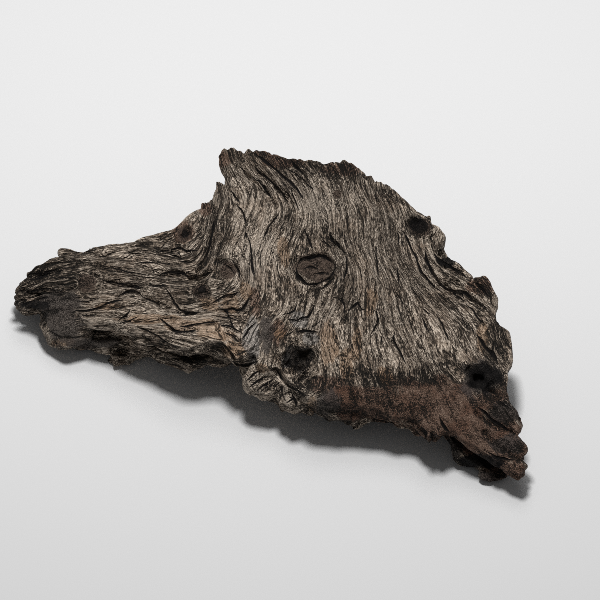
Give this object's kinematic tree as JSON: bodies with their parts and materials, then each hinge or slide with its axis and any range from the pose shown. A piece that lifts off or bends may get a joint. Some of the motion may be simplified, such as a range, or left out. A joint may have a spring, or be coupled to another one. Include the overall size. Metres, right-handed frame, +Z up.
{
  "type": "mopani root",
  "caption": "Weathered, gnarled piece of root wood with deep grain ridges, knots, pits and a pointed snout, resting on three low points.",
  "frame": {"origin": "centre of the root's footprint, on the surface that it rests on", "axes": "+X along the root from the pointed snout to the split end, +Y to the broad back edge, +Z up"},
  "size_m": [0.3, 0.2128, 0.068],
  "materials": {
    "weathered_wood": "matte, weathered and deeply grooved"
  },
  "bodies": {
    "root": {"mopani_root": "weathered_wood"}
  },
  "joints": []
}
